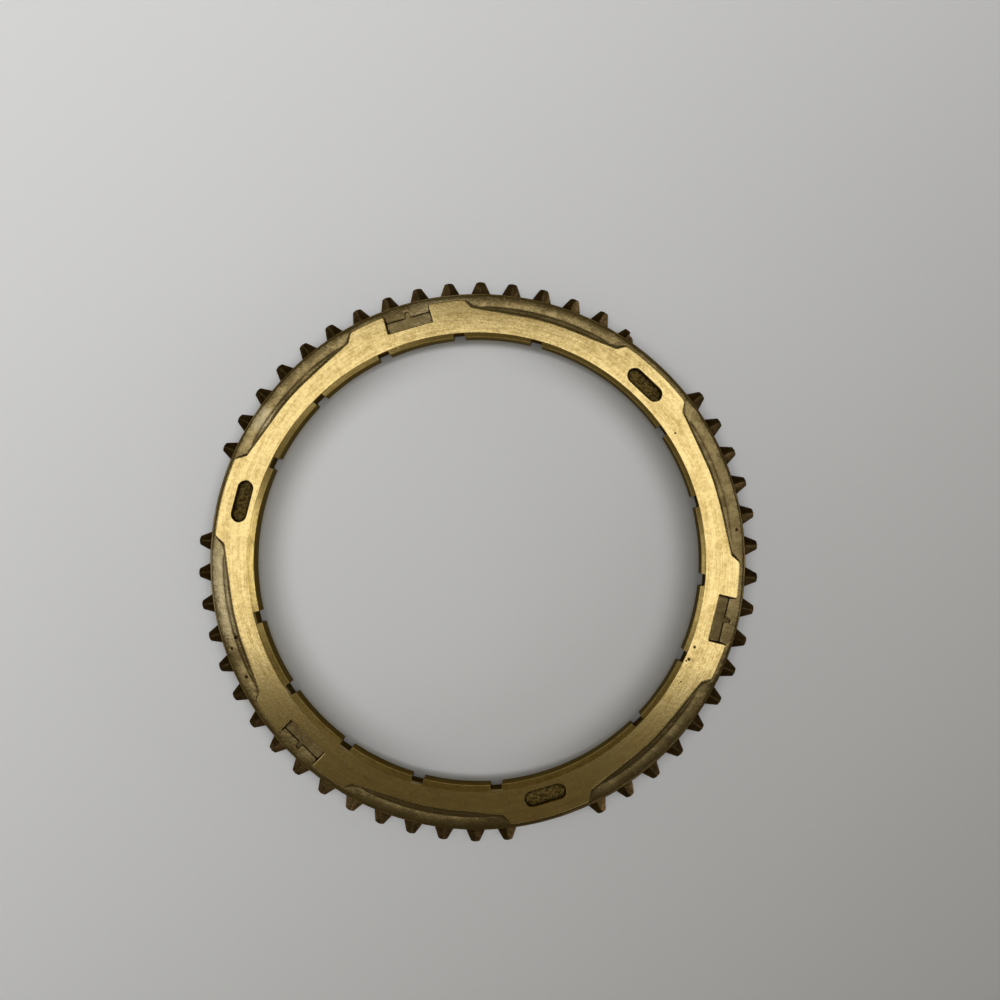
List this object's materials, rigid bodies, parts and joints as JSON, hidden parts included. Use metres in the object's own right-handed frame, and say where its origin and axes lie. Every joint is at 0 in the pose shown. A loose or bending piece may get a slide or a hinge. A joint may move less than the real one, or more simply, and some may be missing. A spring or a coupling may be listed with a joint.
{
  "type": "synchronizer ring",
  "caption": "Brass gearbox synchronizer ring with a grooved friction cone in the bore, pointed blocking teeth round the rim, key slots and lugs on the machined hub-side face.",
  "frame": {"origin": "on the ring's axis, in the gear-side face on which the ring lies", "axes": "+Z along the ring's axis, from the gear-side face to the hub-side face; +X through the middle of a key slot"},
  "size_m": [0.1365, 0.1376, 0.0115],
  "materials": {
    "brass": "bright turned hub-side face and bore, dull as-forged rim, dark oxidised teeth"
  },
  "bodies": {
    "root": {"synchronizer_ring": "brass"}
  },
  "joints": []
}
